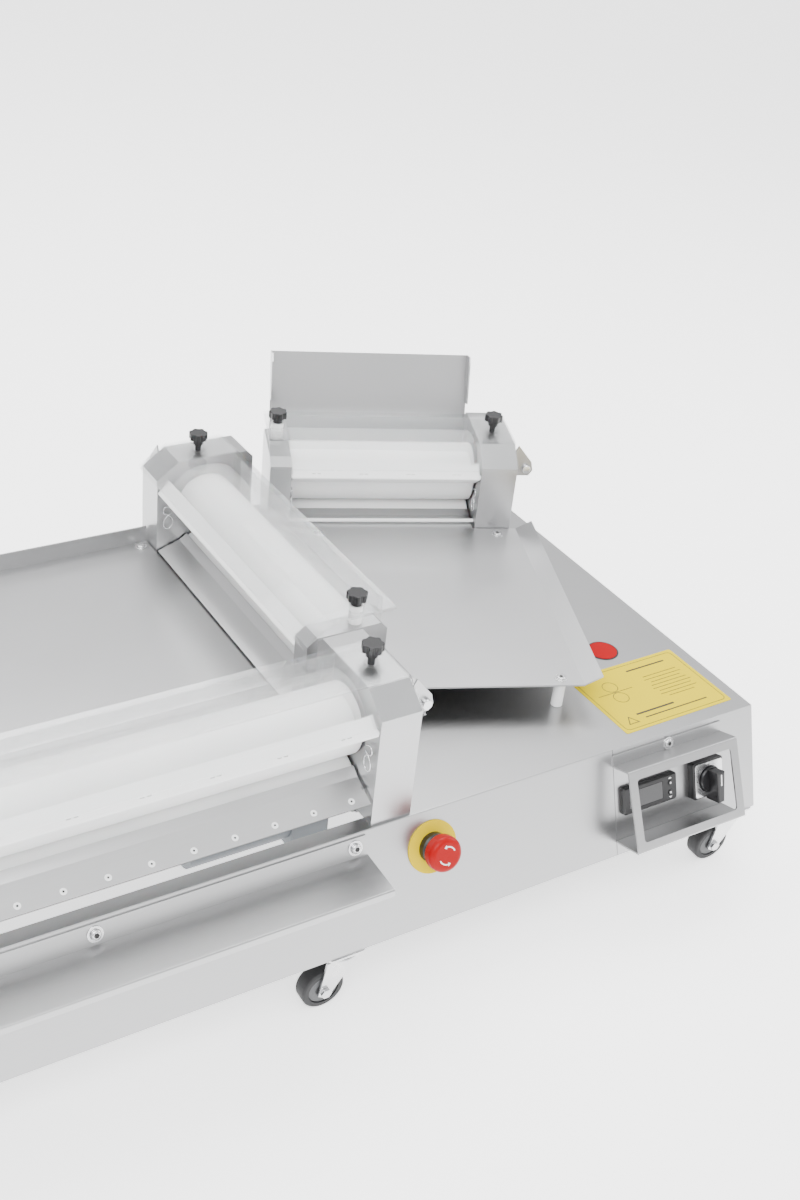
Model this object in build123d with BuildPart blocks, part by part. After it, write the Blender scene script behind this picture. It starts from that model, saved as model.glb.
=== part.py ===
"""Three-station dough sheeter on a low cabinet with casters.

Millimetres. The model is laid out from the cabinet's front right top corner (X right, Y back,
Z up, deck at z = 0) and every piece is moved at export so that the origin lies on the floor
under the middle of the machine.
"""
import os
from math import atan, cos, pi, radians, sin, sqrt, tan

from build123d import *

# ---- cabinet ---------------------------------------------------------------------------------
BASE_WIDTH = 1180.0         # along X, from the right end to the left end
BASE_DEPTH = 660.0          # deck, front edge to back edge
BASE_HEIGHT = 124.0         # deck to the underside of the cabinet
FRONT_SLANT = 19.6          # degrees that the front leans out towards its foot
SHEET = 2.0                 # cabinet, table and plate sheet
RETURN_FLANGE = 62.0        # inward flange round the open bottom, carries the casters
FRONT_OUT = BASE_HEIGHT * tan(radians(FRONT_SLANT))
CABLE_HOLE_R = 10.25        # cable entry in the back wall
CABLE_HOLE_X = -120.0
CABLE_HOLE_Z = -70.0
SEAM_X = -214.0             # butt seam of the front panel
SEAM_WIDTH = 0.8
SEAM_DEPTH = 0.8

# ---- casters ---------------------------------------------------------------------------------
WHEEL_R = 25.0
WHEEL_WIDTH = 19.0
AXLE_R = 4.0
RUNNING = 0.05              # radial clearance of a shaft that turns in a bore
CASTER_HEIGHT = 78.0        # cabinet underside to floor
CASTER_TRAIL = 19.0
CASTER_INSET_X = 26.0
CASTER_MIDDLE_X = -575.0
CASTER_INSET_FRONT = 20.0   # from the front foot of the cabinet
CASTER_INSET_BACK = 40.0
PLATE_SIZE = 44.0
PLATE_THICK = 2.5
RACE_R = 21.0
KINGPIN_R = 5.0

# ---- stations --------------------------------------------------------------------------------
ROLLER_R = 39.0
ROLLER_GAP = 1.0            # at rest, the thinnest setting
GAP_TRAVEL = 5.0
SHAFT_R = 10.0
FACE_Y = 67.0               # roller axis to the towers' outfeed face
TOP_ABOVE_AXIS = 60.0       # upper axis to the top of the drive tower
TOWER_SHEET = 2.0
DRIVE_WIDTH = 48.0
DRIVE_DEPTH = 135.0
DRIVE_CHAMFER_Y = 30.0
DRIVE_CHAMFER_Z = 22.0
IDLE_WIDTH = 28.0
IDLE_DEPTH = 102.0
IDLE_DROP = 13.0            # idle tower lower than the drive tower
BACK_CHAMFER = 9.0
BRACKET_Y = 44.0            # bracket on the drive tower's outer wall
ROLLER_END_GAP = 2.0
DECK_SLOT_HALF = 52.0
LEG_HALF = 34.0             # tower wall that goes down through the deck
LEG_BELOW_AXIS = 24.0
FIT_GAP = 0.3               # neighbouring pieces on different bodies

GEAR_TEETH = 26
GEAR_WIDTH = 8.0
GEAR_FROM_WALL = 4.0
SPROCKET_R = 24.0
SPROCKET_WIDTH = 6.0
CHAIN_THICK = 5.0
MOTOR_Y = -70.0
MOTOR_Z = -74.0
MOTOR_R = 31.0
MOTOR_LENGTH = 120.0
GEARBOX_SIZE = 66.0
GEARBOX_LENGTH = 46.0
MOTOR_SPROCKET_R = 18.0

BLOCK_Y = 34.0
BLOCK_BELOW = 14.0          # bearing block below and above the upper axis
BLOCK_ABOVE = 34.0
DRIVE_BLOCK_WIDTH = 20.0
IDLE_BLOCK_WIDTH = 16.0
SPINDLE_R = 4.0
KNOB_R = 12.0
KNOB_LOBES = 7
KNOB_HEAD = 9.0
KNOB_HUB_R = 6.5
KNOB_HUB = 7.0
KNOB_LIFT = 6.0             # cover top to the knob's hub

COVER_THICK = 4.0
COVER_HOLE_R = 9.0
STRIP_THICK = 2.0
GUARD_THICK = 2.0
PIN_R = 3.0
RIVET_R = 3.4
RIVET_PITCH = 44.0

ANGLE_1 = 21.86             # station 1 is turned in plan
STATIONS = {
    "1": dict(x=-214.0, y=545.0, turn=180 - ANGLE_1, clear=254.0, height=150.0, drive=-1,
              wall_y=-44.5, wall_drop=56.0),
    "2": dict(x=-450.0, y=402.5, turn=90.0, clear=379.0, height=128.0, drive=1,
              wall_y=-44.5, wall_drop=56.0),
    "3": dict(x=-817.0, y=70.0, turn=180.0, clear=570.0, height=157.0, drive=-1,
              wall_y=-34.0, wall_drop=28.0),
}

# ---- work surfaces ---------------------------------------------------------------------------
TABLE_FLANGE = 25.0
TABLE_BACK_Y = 624.0
PLATE_TOP = 38.0            # transfer plate above the deck
PLATE_LONG = 364.0          # from station 1's face to the plate's front edge
PLATE_BESIDE = 58.0         # plate edge beyond the drive tower's inner face
PLATE_FLARE_OUT = 20.0
PLATE_FLARE_UP = 12.0
SPACER_R = 7.0
COLLAR_R = 8.0

# ---- front -----------------------------------------------------------------------------------
SHELF_RIGHT = -541.0
SHELF_LEFT = -1135.0
SHELF_TOP = -4.0
SHELF_FOLD = -26.0
SHELF_OUT = 56.0
STOP_X = -462.0
STOP_Z = -40.0
STOP_DISC_R = 30.0
STOP_TRAVEL = 5.0
DISPLAY_X = -166.0
DISPLAY_Z = -62.0
DISPLAY_WIDTH = 80.0
DISPLAY_HEIGHT = 34.0
SWITCH_X = -81.0
SWITCH_Z = -65.0
SWITCH_PLATE = 46.0
GUARD_LEFT = -215.0
GUARD_RIGHT = -52.0

parts = {}


def keep(name, shape):
    """Label a finished piece and list it for export."""
    shape.label = name
    parts[name] = shape


def group(shapes):
    """Several separate solids as one piece."""
    return Compound(children=[solid for shape in shapes for solid in shape.solids()])


def front_plane(x, z, out=0.0):
    """Plane on the slanted front: its x along X, its y up the slope, its normal outwards."""
    lean = radians(FRONT_SLANT)
    normal = (0, -cos(lean), sin(lean))
    origin = Vector(x, tan(lean) * z, z) + Vector(*normal) * out
    return Plane(origin=origin, x_dir=(1, 0, 0), z_dir=normal)


def station_plane(st):
    turn = radians(st["turn"])
    return Plane(origin=(st["x"], st["y"], 0), x_dir=(cos(turn), sin(turn), 0), z_dir=(0, 0, 1))


def in_station(st, shape):
    """A piece modelled in station axes (x along the rollers, y outfeed) set in its place."""
    return station_plane(st).location * shape


def upper_z(st):
    return st["height"] - TOP_ABOVE_AXIS


def lower_z(st):
    return upper_z(st) - 2 * ROLLER_R - ROLLER_GAP


def bent_sheet(points, thick, x_from, length, radius=0.0):
    """Folded sheet: an open outline in (y, z), thickened on its left, drawn out along X."""
    with BuildPart() as sheet:
        with BuildSketch(Plane.YZ.offset(x_from)):
            with BuildLine():
                if radius:
                    FilletPolyline(*points, radius=radius)
                else:
                    Polyline(*points)
                offset(amount=abs(thick), side=Side.LEFT if thick > 0 else Side.RIGHT)
            make_face()
        extrude(amount=length)
    return sheet.part


# ---- cabinet and work surfaces -----------------------------------------------------------------
def base_cabinet():
    front_in = SHEET / cos(radians(FRONT_SLANT))
    with BuildPart() as cabinet:
        with BuildSketch(Plane.YZ.offset(-BASE_WIDTH)):
            with BuildLine():
                Polyline((0, 0), (BASE_DEPTH, 0), (BASE_DEPTH, -BASE_HEIGHT),
                         (-FRONT_OUT, -BASE_HEIGHT), close=True)
            make_face()
        extrude(amount=BASE_WIDTH)
        with BuildSketch(Plane.YZ.offset(SHEET - BASE_WIDTH)):
            slope = tan(radians(FRONT_SLANT))
            with BuildLine():
                Polyline((front_in - slope * SHEET, -SHEET), (BASE_DEPTH - SHEET, -SHEET),
                         (BASE_DEPTH - SHEET, SHEET - BASE_HEIGHT),
                         (front_in - slope * (BASE_HEIGHT - SHEET), SHEET - BASE_HEIGHT), close=True)
            make_face()
        extrude(amount=BASE_WIDTH - 2 * SHEET, mode=Mode.SUBTRACT)
        with BuildSketch(Plane.XY.offset(-BASE_HEIGHT)):
            with Locations((-BASE_WIDTH / 2, (BASE_DEPTH - FRONT_OUT) / 2)):
                Rectangle(BASE_WIDTH - 2 * RETURN_FLANGE, BASE_DEPTH + FRONT_OUT - 2 * RETURN_FLANGE)
        extrude(amount=SHEET, mode=Mode.SUBTRACT)
        for st in STATIONS.values():
            slot_end = GEAR_FROM_WALL + GEAR_WIDTH + SPROCKET_WIDTH + 14
            low, high = sorted((-st["drive"] * (st["clear"] / 2 + 8),
                                st["drive"] * (st["clear"] / 2 + slot_end)))
            with BuildSketch(station_plane(st).offset(-SHEET)):
                with Locations(((low + high) / 2, 0)):
                    Rectangle(high - low, 2 * DECK_SLOT_HALF)
                with Locations((st["drive"] * (DRIVE_WIDTH - IDLE_WIDTH) / 2, 0)):
                    Rectangle(st["clear"] + DRIVE_WIDTH + IDLE_WIDTH - 8, 2 * SHAFT_R + 4)
            extrude(amount=SHEET, mode=Mode.SUBTRACT)
        with BuildSketch(Plane.XZ.offset(-BASE_DEPTH)):
            with Locations((CABLE_HOLE_X, CABLE_HOLE_Z)):
                Circle(CABLE_HOLE_R)
        extrude(amount=SHEET, mode=Mode.SUBTRACT)
        with BuildSketch(front_plane(SEAM_X, -BASE_HEIGHT / 2)):
            Rectangle(SEAM_WIDTH, BASE_HEIGHT * 1.2)
        extrude(amount=-SEAM_DEPTH, mode=Mode.SUBTRACT)
        with BuildSketch(front_plane(STOP_X, STOP_Z)):
            Circle(11.5)
        extrude(amount=-2 * SHEET, mode=Mode.SUBTRACT)
        with BuildSketch(front_plane(DISPLAY_X, DISPLAY_Z)):
            Rectangle(DISPLAY_WIDTH - 8, DISPLAY_HEIGHT - 6)
        extrude(amount=-2 * SHEET, mode=Mode.SUBTRACT)
        with BuildSketch(front_plane(SWITCH_X, SWITCH_Z)):
            Circle(11)
        extrude(amount=-2 * SHEET, mode=Mode.SUBTRACT)
        front_edge = cabinet.edges().filter_by(Axis.X).group_by(Axis.Z)[-1].sort_by(Axis.Y)[0]
        fillet(front_edge, 1.2)
    return cabinet.part


def work_table():
    """Flat table left of station 2 with an upturned flange along its back and left edges."""
    st = STATIONS["2"]
    right = st["x"] - FACE_Y - 2
    left = 4 - BASE_WIDTH
    front = STATIONS["3"]["y"] - FACE_Y + DRIVE_DEPTH + 2
    with BuildPart() as table:
        with BuildSketch():
            with Locations(((left + right) / 2, (front + TABLE_BACK_Y) / 2)):
                Rectangle(right - left, TABLE_BACK_Y - front)
        extrude(amount=SHEET)
        with BuildSketch(Plane.XY.offset(SHEET)):
            with Locations(((left + right) / 2, TABLE_BACK_Y - SHEET / 2)):
                Rectangle(right - left, SHEET)
            with Locations((left + SHEET / 2, (front + TABLE_BACK_Y) / 2)):
                Rectangle(SHEET, TABLE_BACK_Y - front)
        extrude(amount=TABLE_FLANGE - SHEET)
    return table.part


def plate_spots():
    """Screw places of the transfer plate in station 1's axes."""
    st = STATIONS["1"]
    face = FACE_Y
    inner = -st["clear"] / 2
    return [(inner - 28, face + 16), (inner - 32, face + PLATE_LONG - 14),
            (inner + 150, face + PLATE_LONG - 16), (inner + 215, face + 16)]


def transfer_plate():
    """Raised plate from station 1's outfeed to station 2's infeed, right edge flared up."""
    st1 = STATIONS["1"]
    st2 = STATIONS["2"]
    plane = station_plane(st1)
    inner = st1["clear"] / 2

    def out(x, y):
        point = plane.from_local_coords(Vector(x, y, 0))
        return (point.X, point.Y)

    nip_edge = st2["x"] + sqrt(ROLLER_R ** 2 - (upper_z(st2) - PLATE_TOP) ** 2) + 6
    beside = st2["x"] - FACE_Y + IDLE_DEPTH + 6
    idle_inner = st2["y"] - st2["clear"] / 2 + 3
    drive_inner = st2["y"] + st2["clear"] / 2 - 4
    right = -inner - PLATE_BESIDE
    corner = out(-inner + 208, FACE_Y + PLATE_LONG)
    step = out(inner + IDLE_WIDTH + 3, FACE_Y + 3)
    with BuildPart() as plate:
        with BuildSketch(Plane.XY.offset(PLATE_TOP - SHEET)):
            with BuildLine():
                Polyline(out(right, FACE_Y + 1), out(right, FACE_Y + PLATE_LONG), corner,
                         (beside, corner[1]), (beside, idle_inner), (nip_edge, idle_inner),
                         (nip_edge, drive_inner), (step[0], drive_inner), step,
                         out(inner - 3, FACE_Y + 1), out(inner - 3, FACE_Y - 20),
                         out(-inner + 3, FACE_Y - 20), out(-inner + 3, FACE_Y + 1), close=True)
            make_face()
        extrude(amount=SHEET)
    flare_end = (right - PLATE_FLARE_OUT, PLATE_TOP - SHEET + PLATE_FLARE_UP)
    with BuildPart() as flare:
        with BuildSketch(Plane.XZ.offset(-FACE_Y - PLATE_LONG)):
            with BuildLine():
                Polyline((right + 1, PLATE_TOP - SHEET), flare_end, (flare_end[0], flare_end[1] + SHEET),
                         (right + 1, PLATE_TOP), close=True)
            make_face()
        extrude(amount=PLATE_LONG - 1)
    with BuildPart() as whole:
        add(plate.part)
        add(in_station(st1, flare.part))
        with Locations(*[(*out(x, y), PLATE_TOP) for x, y in plate_spots()]):
            Hole(2.2, depth=SHEET)
    return whole.part


def white_spacers():
    """Turned white spacers: under the plate, and under the idle towers' knobs."""
    pieces = []
    for x, y in plate_spots():
        with BuildPart() as spacer:
            with BuildSketch():
                Circle(SPACER_R)
                Circle(2.2, mode=Mode.SUBTRACT)
            extrude(amount=PLATE_TOP - SHEET)
            chamfer(spacer.edges().filter_by(GeomType.CIRCLE).sort_by(SortBy.RADIUS)[-2:], 0.8)
        pieces.append(in_station(STATIONS["1"], Pos(x, y, 0) * spacer.part))
    for st in STATIONS.values():
        base = st["height"] - IDLE_DROP
        with BuildPart() as collar:
            with BuildSketch(Plane.XY.offset(base)):
                Circle(COLLAR_R)
                Circle(SPINDLE_R + 0.5, mode=Mode.SUBTRACT)
            extrude(amount=IDLE_DROP + COVER_THICK + KNOB_LIFT - FIT_GAP)
        x = -st["drive"] * (st["clear"] + IDLE_WIDTH) / 2
        pieces.append(in_station(st, Pos(x, 0, 0) * collar.part))
    return group(pieces)


# ---- station pieces ----------------------------------------------------------------------------
def tower(st, side):
    """Folded steel housing at one end of a station; its inner wall carries the lower shaft."""
    driven = side == st["drive"]
    width = DRIVE_WIDTH if driven else IDLE_WIDTH
    depth = DRIVE_DEPTH if driven else IDLE_DEPTH
    height = st["height"] if driven else st["height"] - IDLE_DROP
    cut_z = DRIVE_CHAMFER_Z if driven else DRIVE_CHAMFER_Z - IDLE_DROP
    cut_y = cut_z * DRIVE_CHAMFER_Y / DRIVE_CHAMFER_Z
    back = FACE_Y - depth
    inner = side * st["clear"] / 2
    low = min(inner, inner + side * width)
    with BuildPart() as shell:
        outside = (low, width, 0.0, Mode.ADD)
        hollow = (low + TOWER_SHEET, width - 2 * TOWER_SHEET, TOWER_SHEET, Mode.SUBTRACT)
        for start, length, wall, mode in (outside, hollow):
            cut = wall * 0.45
            with BuildSketch(Plane.YZ.offset(start)):
                with BuildLine():
                    Polyline((back + wall, 0), (back + wall, height - BACK_CHAMFER - cut),
                             (back + BACK_CHAMFER + cut, height - wall),
                             (FACE_Y - cut_y - cut, height - wall),
                             (FACE_Y - wall, height - cut_z - cut), (FACE_Y - wall, 0), close=True)
                make_face()
            extrude(amount=length, mode=mode)
        # inner wall goes down through the deck to the lower bearing
        wall = min(inner, inner + side * TOWER_SHEET)
        leg_low = lower_z(st) - LEG_BELOW_AXIS
        with BuildSketch(Plane.YZ.offset(wall)):
            with Locations((0, (leg_low + 4) / 2)):
                Rectangle(2 * LEG_HALF, 4 - leg_low)
        extrude(amount=TOWER_SHEET)
        boss = min(inner + side * TOWER_SHEET, inner + side * (TOWER_SHEET + GEAR_FROM_WALL - 2))
        with BuildSketch(Plane.YZ.offset(boss)):
            with Locations((0, lower_z(st))):
                Circle(SHAFT_R + 6)
        extrude(amount=GEAR_FROM_WALL - 2)
        bearing = TOWER_SHEET + GEAR_FROM_WALL
        with BuildSketch(Plane.YZ.offset(min(inner, inner + side * bearing))):
            with Locations((0, lower_z(st))):
                Circle(SHAFT_R + RUNNING)
        extrude(amount=bearing, mode=Mode.SUBTRACT)
        with BuildSketch(Plane.YZ.offset(wall)):
            with Locations((0, upper_z(st) + GAP_TRAVEL / 2)):
                SlotOverall(2 * SHAFT_R + GAP_TRAVEL + 4, 2 * SHAFT_R + 2, rotation=90)
        extrude(amount=TOWER_SHEET, mode=Mode.SUBTRACT)
        # knob spindle
        with BuildSketch(Plane.XY.offset(height - TOWER_SHEET)):
            with Locations((inner + side * width / 2, 0)):
                Circle(SPINDLE_R + RUNNING)
        extrude(amount=TOWER_SHEET, mode=Mode.SUBTRACT)
        # bracket that stands out from the drive tower's outer wall
        if driven:
            outer = inner + side * width
            with BuildSketch(Plane.XZ.offset(-BRACKET_Y)):
                with BuildLine():
                    Polyline((outer - side, height - 42), (outer + side * 22, height - 42),
                             (outer + side * 27, height - 34), (outer + side * 24, height - 22),
                             (outer + side * 4, height + 2), (outer - side, height - 8), close=True)
                make_face()
            extrude(amount=-TOWER_SHEET)
        # pin seats of the scraper and of the outfeed guard
        with BuildSketch(Plane.YZ.offset(wall)):
            with Locations(scraper_pin(st), guard_pin(st)):
                Circle(PIN_R + RUNNING)
        extrude(amount=TOWER_SHEET, mode=Mode.SUBTRACT)
    return in_station(st, shell.part)


def scraper_pin(st):
    return (61.5, st["height"] - 38.0)


def guard_line(st):
    """Outline of the outfeed guard in (y, z), from the lower roller to the next surface."""
    low = lower_z(st)
    if st is STATIONS["1"]:
        return [(25.5, low + 33.5), (36, low + 29.5), (44.5, PLATE_TOP + 0.5)]
    if st is STATIONS["2"]:
        return [(25.5, low + 33.5), (36, low + 26), (66, SHEET + 2.5)]
    return [(25.5, low + 33.5), (36, low + 26), (66, low + 12)]


def guard_pin(st):
    """Pin below the guard's outer run."""
    bend, edge = guard_line(st)[1:]
    y = min(46.0, edge[0] - 6)
    share = (y - bend[0]) / (edge[0] - bend[0])
    return (y, bend[1] + share * (edge[1] - bend[1]) - 6.5)


def scraper(st):
    """Bent strip in front of the upper roller, its inner edge close to the roller."""
    top = st["height"]
    length = st["clear"] - 2 * ROLLER_END_GAP
    strip = bent_sheet([(50, top - 24), (65, top - 38), (41, top - 55)], STRIP_THICK,
                       -length / 2, length)
    pin_y, pin_z = scraper_pin(st)
    slots = max(4, round(length / 72))
    with BuildPart() as whole:
        add(strip)
        with BuildSketch(Plane.XY.offset(top - 45)):
            with GridLocations(length / slots, 0, slots, 1):
                with Locations((-3.5, 62.5), (3.5, 62.5)):
                    SlotOverall(5, 1.6)
        extrude(amount=12, mode=Mode.SUBTRACT)
        for side in (-1, 1):
            start = min(side * (length / 2 - 8), side * (st["clear"] / 2 + TOWER_SHEET))
            with BuildSketch(Plane.YZ.offset(start)):
                with Locations((pin_y, pin_z)):
                    Circle(PIN_R)
            extrude(amount=8 + ROLLER_END_GAP + TOWER_SHEET)
    return in_station(st, whole.part)


def guard(st):
    """Steel lip from the lower roller down to the next surface, held by a pin at each end."""
    length = st["clear"] - 2 * ROLLER_END_GAP
    points = guard_line(st)
    sheet = bent_sheet(points, -GUARD_THICK, -length / 2, length, radius=6.0)
    pin_y, pin_z = guard_pin(st)
    with BuildPart() as whole:
        add(sheet)
        for side in (-1, 1):
            ear = min(side * length / 2, side * (length / 2 - GUARD_THICK))
            with BuildSketch(Plane.YZ.offset(ear)):
                with Locations((pin_y, pin_z)):
                    Circle(PIN_R + 1)
                with Locations((pin_y, pin_z + 3)):
                    Rectangle(2 * PIN_R + 2, 7)
            extrude(amount=GUARD_THICK)
            start = min(side * (length / 2 - GUARD_THICK), side * (st["clear"] / 2 + TOWER_SHEET))
            with BuildSketch(Plane.YZ.offset(start)):
                with Locations((pin_y, pin_z)):
                    Circle(PIN_R)
            extrude(amount=GUARD_THICK + ROLLER_END_GAP + TOWER_SHEET)
    return in_station(st, whole.part)


def cover(st):
    """Clear bent cover: outfeed lip, flat top and a wall on the infeed side."""
    top = st["height"]
    full = st["clear"] + DRIVE_WIDTH + IDLE_WIDTH
    left = -st["clear"] / 2 - (DRIVE_WIDTH if st["drive"] < 0 else IDLE_WIDTH)
    slope = DRIVE_CHAMFER_Z / DRIVE_CHAMFER_Y
    reach = 34.0
    points = [(FACE_Y - DRIVE_CHAMFER_Y + reach, top + FIT_GAP - slope * reach),
              (FACE_Y - DRIVE_CHAMFER_Y, top + FIT_GAP), (st["wall_y"], top + FIT_GAP)]
    lid = bent_sheet(points, -COVER_THICK, left, full)
    with BuildPart() as whole:
        add(lid)
        with BuildSketch(Plane.XY.offset(top + COVER_THICK)):
            with Locations((0, st["wall_y"] + COVER_THICK / 2)):
                Rectangle(st["clear"] - 2, COVER_THICK)
        extrude(amount=-st["wall_drop"] - COVER_THICK)
        for side in (-1, 1):
            width = DRIVE_WIDTH if side == st["drive"] else IDLE_WIDTH
            with Locations((side * (st["clear"] + width) / 2, 0, top + 2 * COVER_THICK)):
                Hole(COVER_HOLE_R, depth=3 * COVER_THICK)
    return in_station(st, whole.part)


def knob(st, side):
    """Black star knob on a spindle that screws into the bearing block."""
    width = DRIVE_WIDTH if side == st["drive"] else IDLE_WIDTH
    base = st["height"] + COVER_THICK + KNOB_LIFT
    bottom = upper_z(st) + SHAFT_R + GAP_TRAVEL + 3.0
    with BuildPart() as star:
        with BuildSketch(Plane.XY.offset(base + KNOB_HUB)):
            Circle(KNOB_R - 1.5)
            with PolarLocations(KNOB_R - 3.2, KNOB_LOBES):
                Circle(3.4)
        extrude(amount=KNOB_HEAD)
        fillet(star.faces().sort_by(Axis.Z)[-1].edges(), 1.0)
        with BuildSketch(Plane.XY.offset(base)):
            Circle(KNOB_HUB_R)
        extrude(amount=KNOB_HUB)
        with BuildSketch(Plane.XY.offset(bottom)):
            Circle(SPINDLE_R)
        extrude(amount=base - bottom)
    return in_station(st, Pos(side * (st["clear"] + width) / 2, 0, 0) * star.part)


def carriage(st):
    """Pair of bearing blocks that carry the upper shaft and ride up and down in the towers."""
    blocks = []
    axis_z = upper_z(st)
    for side in (-1, 1):
        driven = side == st["drive"]
        size = DRIVE_BLOCK_WIDTH if driven else IDLE_BLOCK_WIDTH
        spindle = side * (st["clear"] + (DRIVE_WIDTH if driven else IDLE_WIDTH)) / 2
        middle = spindle + (side * 2 if driven else 0)
        with BuildPart() as block:
            with BuildSketch(Plane.YZ.offset(middle - size / 2)):
                with Locations((0, axis_z + (BLOCK_ABOVE - BLOCK_BELOW) / 2)):
                    RectangleRounded(BLOCK_Y, BLOCK_ABOVE + BLOCK_BELOW, 3)
                with Locations((0, axis_z)):
                    Circle(SHAFT_R + RUNNING, mode=Mode.SUBTRACT)
            extrude(amount=size)
            with BuildSketch(Plane.XY.offset(axis_z)):
                with Locations((spindle, 0)):
                    Circle(SPINDLE_R + RUNNING)
            extrude(amount=BLOCK_ABOVE, mode=Mode.SUBTRACT)
        blocks.append(in_station(st, block.part))
    return group(blocks)


def gear(turned, axis_z):
    """Outline of a deep-toothed spur gear, teeth tapering to the tip."""
    pitch = ROLLER_R + ROLLER_GAP / 2
    tip = pitch + 2.9
    root = pitch - 3.3
    step = 2 * pi / GEAR_TEETH
    points = []
    for tooth in range(GEAR_TEETH):
        middle = (tooth + turned) * step
        for radius, share in ((root, -0.31), (tip, -0.12), (tip, 0.12), (root, 0.31)):
            angle = middle + share * step
            points.append((radius * sin(angle), axis_z + radius * cos(angle)))
    return points


def roller(st, axis_z, turned, sprocket):
    """White plastic sleeve on a steel shaft that ends in its gear, in one turned pair."""
    side = st["drive"]
    half = st["clear"] / 2
    with BuildPart() as sleeve:
        with BuildSketch(Plane.YZ.offset(ROLLER_END_GAP - half)):
            with Locations((0, axis_z)):
                Circle(ROLLER_R)
                Circle(SHAFT_R, mode=Mode.SUBTRACT)
        extrude(amount=2 * (half - ROLLER_END_GAP))
        chamfer(sleeve.edges().filter_by(GeomType.CIRCLE).group_by(SortBy.RADIUS)[-1], 1.0)
    idle_end = -side * (half + (IDLE_WIDTH + 18) / 2)
    drive_end = side * (half + DRIVE_WIDTH - TOWER_SHEET - 3)
    with BuildPart() as shaft:
        with BuildSketch(Plane.YZ.offset(min(idle_end, drive_end))):
            with Locations((0, axis_z)):
                Circle(SHAFT_R)
        extrude(amount=abs(drive_end - idle_end))
        start = half + TOWER_SHEET + GEAR_FROM_WALL
        low = min(side * start, side * (start + GEAR_WIDTH))
        with BuildSketch(Plane.YZ.offset(low)):
            with BuildLine():
                Polyline(*gear(turned, axis_z), close=True)
            make_face()
        extrude(amount=GEAR_WIDTH)
        if sprocket:
            first = start + GEAR_WIDTH + 4
            low = min(side * first, side * (first + SPROCKET_WIDTH))
            with BuildSketch(Plane.YZ.offset(low)):
                with Locations((0, axis_z)):
                    Circle(SPROCKET_R)
            extrude(amount=SPROCKET_WIDTH)
    return in_station(st, group([sleeve.part, shaft.part]))


def infeed_chute():
    """Steep feed chute behind station 1 with upright side flanges over its upper part."""
    st = STATIONS["1"]
    foot = (-37.0, 50.0)
    head = (-89.0, 222.0)
    flange = 22.0
    drive_edge = -st["clear"] / 2
    idle_edge = st["clear"] / 2 + 18
    flange_z = st["height"] + 10
    lean = (head[0] - foot[0]) / (head[1] - foot[1])
    plate = bent_sheet([foot, head], SHEET, drive_edge, idle_edge - drive_edge)
    with BuildPart() as chute:
        add(plate)
        for edge in (drive_edge, idle_edge - SHEET):
            with BuildSketch(Plane.YZ.offset(edge)):
                low_y = foot[0] + lean * (flange_z - foot[1])
                with BuildLine():
                    Polyline((low_y - 1, flange_z), (low_y + 14, flange_z + 4),
                             (head[0] + flange, head[1] - 6), (head[0] + flange - 6, head[1] + 4),
                             (head[0] - 1, head[1]), close=True)
                make_face()
            extrude(amount=SHEET)
    return in_station(st, chute.part)


def drive_units():
    """Each station's gearmotor under the deck, on its bracket, with the chain to the roller."""
    units = []
    for st in STATIONS.values():
        side = st["drive"]
        half = st["clear"] / 2

        def span(first, length):
            return min(side * (half + first), side * (half + first + length))

        with BuildPart() as motor:
            with BuildSketch(Plane.YZ.offset(span(13, 5))):
                with BuildLine():
                    Polyline((MOTOR_Y - 33, -SHEET), (-DECK_SLOT_HALF - 2, -SHEET),
                             (-DECK_SLOT_HALF - 2, MOTOR_Z - 33), (MOTOR_Y - 33, MOTOR_Z - 33), close=True)
                make_face()
            extrude(amount=5)
            with BuildSketch(Plane.YZ.offset(span(13 - GEARBOX_LENGTH, GEARBOX_LENGTH))):
                with Locations((MOTOR_Y, MOTOR_Z)):
                    RectangleRounded(GEARBOX_SIZE, GEARBOX_SIZE, 6)
            extrude(amount=GEARBOX_LENGTH)
            with BuildSketch(Plane.YZ.offset(span(13 - GEARBOX_LENGTH - MOTOR_LENGTH, MOTOR_LENGTH))):
                with Locations((MOTOR_Y, MOTOR_Z)):
                    Circle(MOTOR_R)
            extrude(amount=MOTOR_LENGTH)
            with BuildSketch(Plane.YZ.offset(span(18, 13))):
                with Locations((MOTOR_Y, MOTOR_Z)):
                    Circle(7)
            extrude(amount=13)
            sprocket_from = TOWER_SHEET + GEAR_FROM_WALL + GEAR_WIDTH + 4
            with BuildSketch(Plane.YZ.offset(span(sprocket_from, SPROCKET_WIDTH))):
                with Locations((MOTOR_Y, MOTOR_Z)):
                    Circle(MOTOR_SPROCKET_R)
            extrude(amount=SPROCKET_WIDTH)
        with BuildPart() as chain:
            with BuildSketch(Plane.YZ.offset(span(sprocket_from, SPROCKET_WIDTH))):
                with Locations((0, lower_z(st))):
                    Circle(SPROCKET_R + FIT_GAP + CHAIN_THICK)
                with Locations((MOTOR_Y, MOTOR_Z)):
                    Circle(MOTOR_SPROCKET_R + FIT_GAP + CHAIN_THICK)
                make_hull()
            extrude(amount=SPROCKET_WIDTH)
            with BuildSketch(Plane.YZ.offset(span(sprocket_from, SPROCKET_WIDTH))):
                with Locations((0, lower_z(st))):
                    Circle(SPROCKET_R + FIT_GAP)
                with Locations((MOTOR_Y, MOTOR_Z)):
                    Circle(MOTOR_SPROCKET_R + FIT_GAP)
                make_hull()
            extrude(amount=SPROCKET_WIDTH, mode=Mode.SUBTRACT)
        units.append(in_station(st, motor.part))
        units.append(in_station(st, chain.part))
    return group(units)


# ---- front pieces ------------------------------------------------------------------------------
def front_y(z, out=0.0):
    """Y of the slanted front at height z, or of a line parallel to it, `out` in front."""
    lean = radians(FRONT_SLANT)
    return tan(lean) * z - out / cos(lean)


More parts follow.
